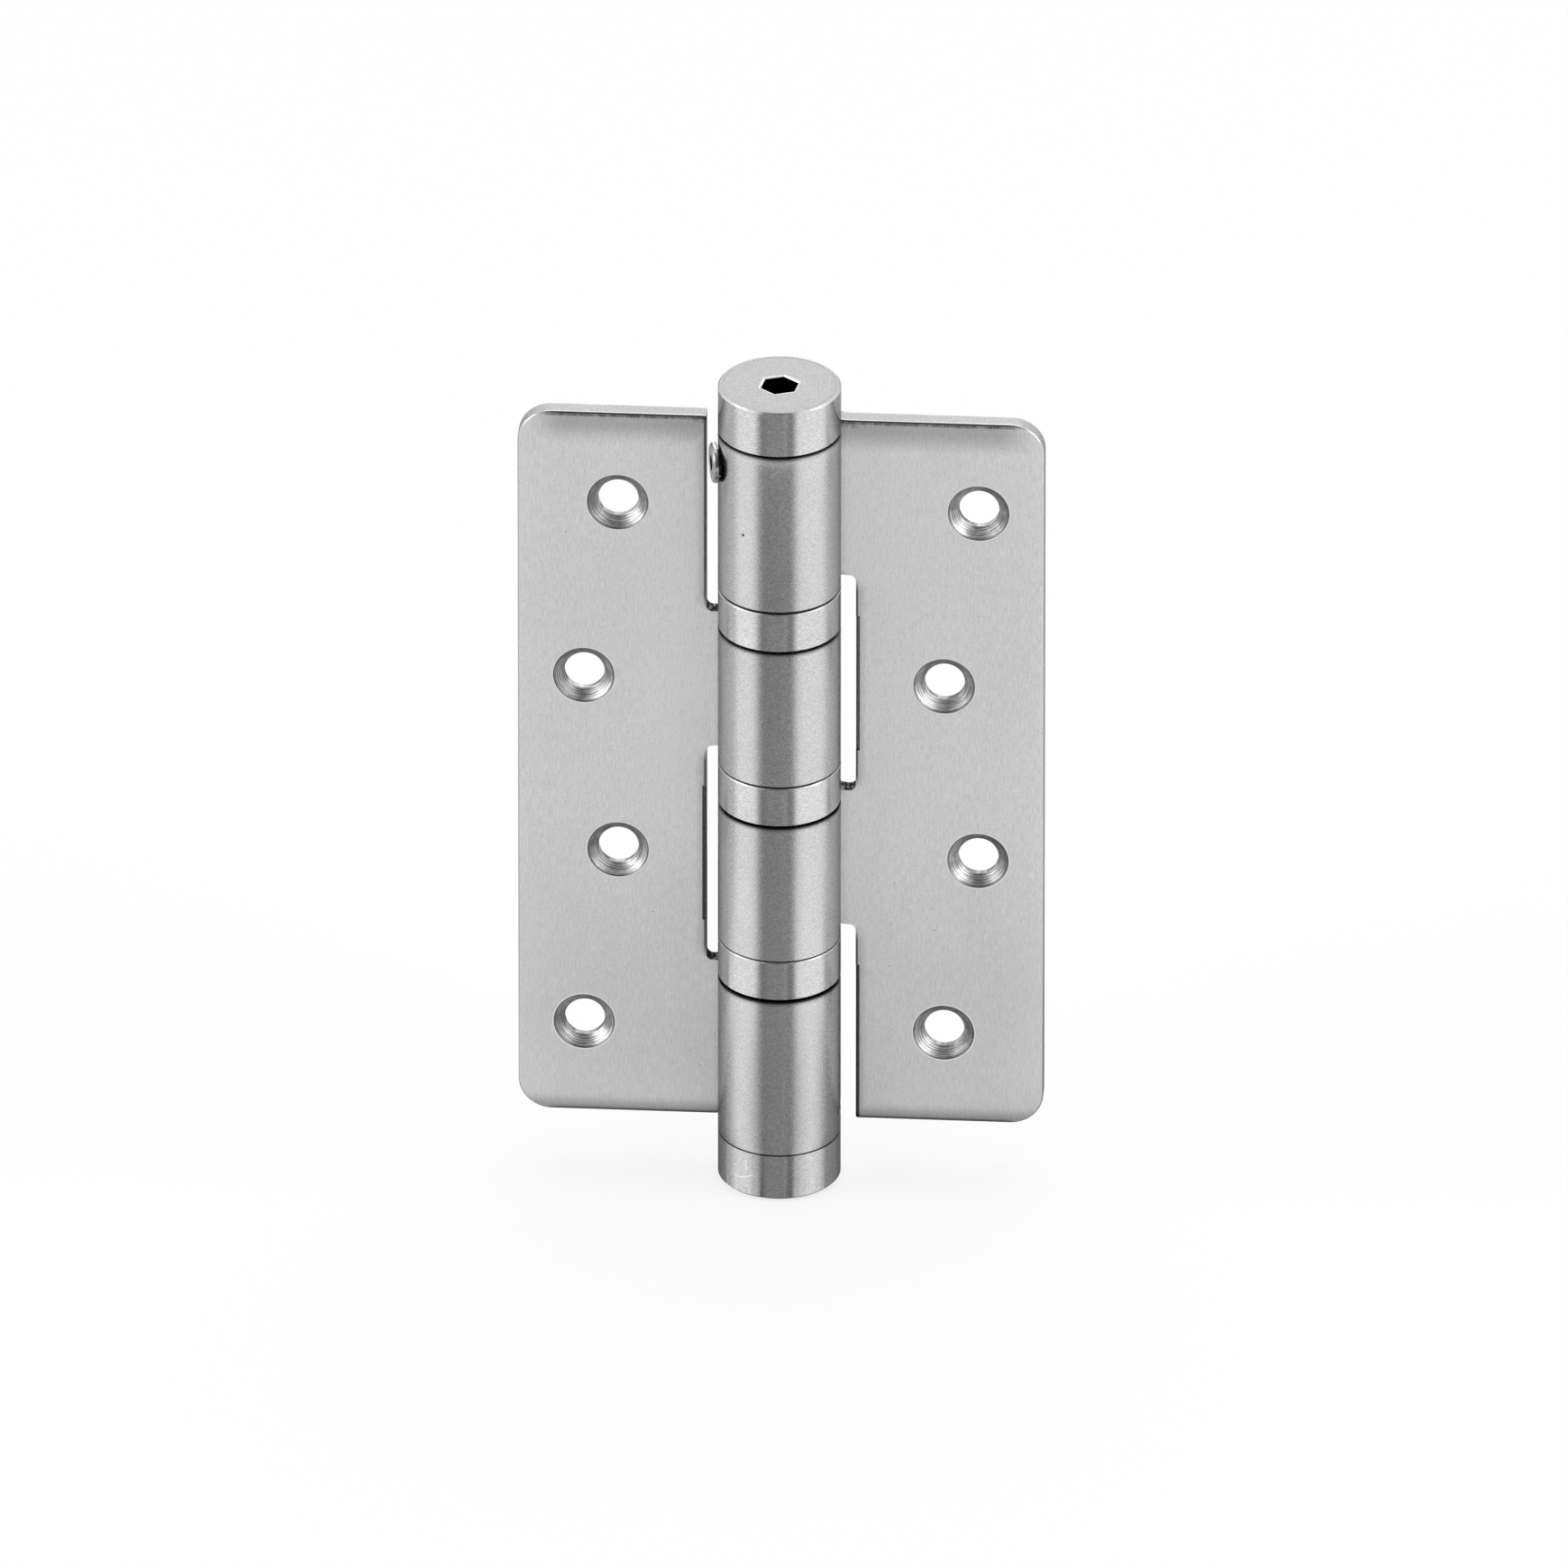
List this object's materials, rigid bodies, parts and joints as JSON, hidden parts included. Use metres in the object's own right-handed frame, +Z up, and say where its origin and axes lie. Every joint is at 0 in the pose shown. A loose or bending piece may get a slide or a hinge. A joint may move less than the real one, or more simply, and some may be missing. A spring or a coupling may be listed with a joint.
{
  "type": "spring hinge",
  "caption": "Butt hinge with a self-closing torsion spring in its barrel, ball bearings between the knuckles and a hex-key tension cap held by a stop pin.",
  "frame": {"origin": "on the barrel's axis, half-way up the hinge", "axes": "+Z up the barrel towards the tension cap; +X towards the door leaf; +Y from the countersunk faces to the backs of the leaves; hinge opened flat"},
  "size_m": [0.0942, 0.022, 0.1598],
  "materials": {
    "leaf_steel": "brushed stainless, grain along the barrel",
    "turned_steel": "brushed stainless, grain round the barrel",
    "pin_steel": "turned stainless, slightly worn",
    "race_steel": "ground bearing steel",
    "ball_steel": "polished balls",
    "spring_steel": "drawn spring wire, oiled"
  },
  "bodies": {
    "frame_side": {"frame_leaf": "leaf_steel", "bottom_cap": "turned_steel", "bottom_lock_pin": "pin_steel", "torsion_spring": "spring_steel", "spring_guide": "pin_steel", "upper_bearing_ring": "turned_steel", "upper_bearing_lower_race": "race_steel", "middle_bearing_upper_race": "race_steel", "lower_bearing_ring": "turned_steel", "lower_bearing_lower_race": "race_steel"},
    "door_side": {"door_leaf": "leaf_steel", "upper_bearing_upper_race": "race_steel", "middle_bearing_lower_race": "race_steel", "middle_bearing_ring": "turned_steel", "lower_bearing_upper_race": "race_steel"},
    "tension_cap": {"tension_cap": "turned_steel"},
    "stop_pin": {"stop_pin": "pin_steel"},
    "upper_balls": {"upper_bearing_balls": "ball_steel"},
    "middle_balls": {"middle_bearing_balls": "ball_steel"},
    "lower_balls": {"lower_bearing_balls": "ball_steel"}
  },
  "joints": [
    {"name": "leaf_swing", "type": "hinge", "parent": "frame_side", "child": "door_side", "pos_m": [0, 0, 0], "axis": [0, 0, -1], "range_deg": [0, 180], "stiffness_Nm_per_rad": 0.8, "deforming": ["torsion_spring"]},
    {"name": "tension_turn", "type": "hinge", "parent": "door_side", "child": "tension_cap", "pos_m": [0, 0, 0], "axis": [0, 0, -1], "range_deg": [0, 12]},
    {"name": "stop_pin_pull", "type": "slide", "parent": "tension_cap", "child": "stop_pin", "axis": [-0.9781, -0.2079, 0], "range_m": [0, 0.0095]},
    {"name": "upper_balls_roll", "type": "hinge", "parent": "frame_side", "child": "upper_balls", "pos_m": [0, 0, 0], "axis": [0, 0, -1], "range_deg": [0, 90]},
    {"name": "middle_balls_roll", "type": "hinge", "parent": "frame_side", "child": "middle_balls", "pos_m": [0, 0, 0], "axis": [0, 0, -1], "range_deg": [0, 90]},
    {"name": "lower_balls_roll", "type": "hinge", "parent": "frame_side", "child": "lower_balls", "pos_m": [0, 0, 0], "axis": [0, 0, -1], "range_deg": [0, 90]}
  ],
  "couplings": [
    {"joint": "upper_balls_roll", "follows": "leaf_swing", "ratio": 0.5},
    {"joint": "middle_balls_roll", "follows": "leaf_swing", "ratio": 0.5},
    {"joint": "lower_balls_roll", "follows": "leaf_swing", "ratio": 0.5}
  ]
}
